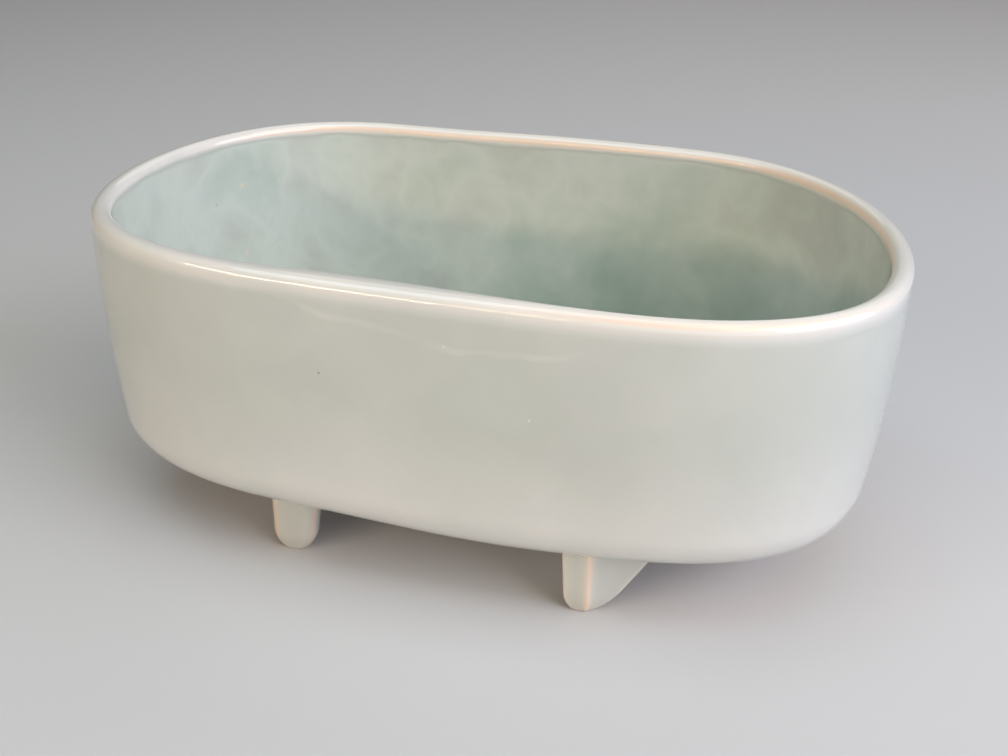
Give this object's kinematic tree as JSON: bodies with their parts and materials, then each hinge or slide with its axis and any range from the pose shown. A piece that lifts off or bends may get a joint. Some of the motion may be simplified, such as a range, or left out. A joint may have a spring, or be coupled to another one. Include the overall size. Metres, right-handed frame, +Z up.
{
  "type": "oval table planter",
  "caption": "Long oval glazed bowl for plants with a rounded rim, nearly upright sides and short cut feet; rests on its feet and holds soil or a liner.",
  "frame": {"origin": "on the surface that the feet stand on, under the middle of the bowl", "axes": "+X along the long side of the bowl, +Y across it from front to back, +Z up"},
  "size_m": [0.2403, 0.1454, 0.099],
  "materials": {
    "bowl_glaze": "glossy",
    "foot_glaze": "glossy"
  },
  "bodies": {
    "root": {"wall": "bowl_glaze", "floor": "bowl_glaze", "front_left_foot": "foot_glaze", "front_right_foot": "foot_glaze", "back_left_foot": "foot_glaze", "back_right_foot": "foot_glaze"}
  },
  "joints": []
}
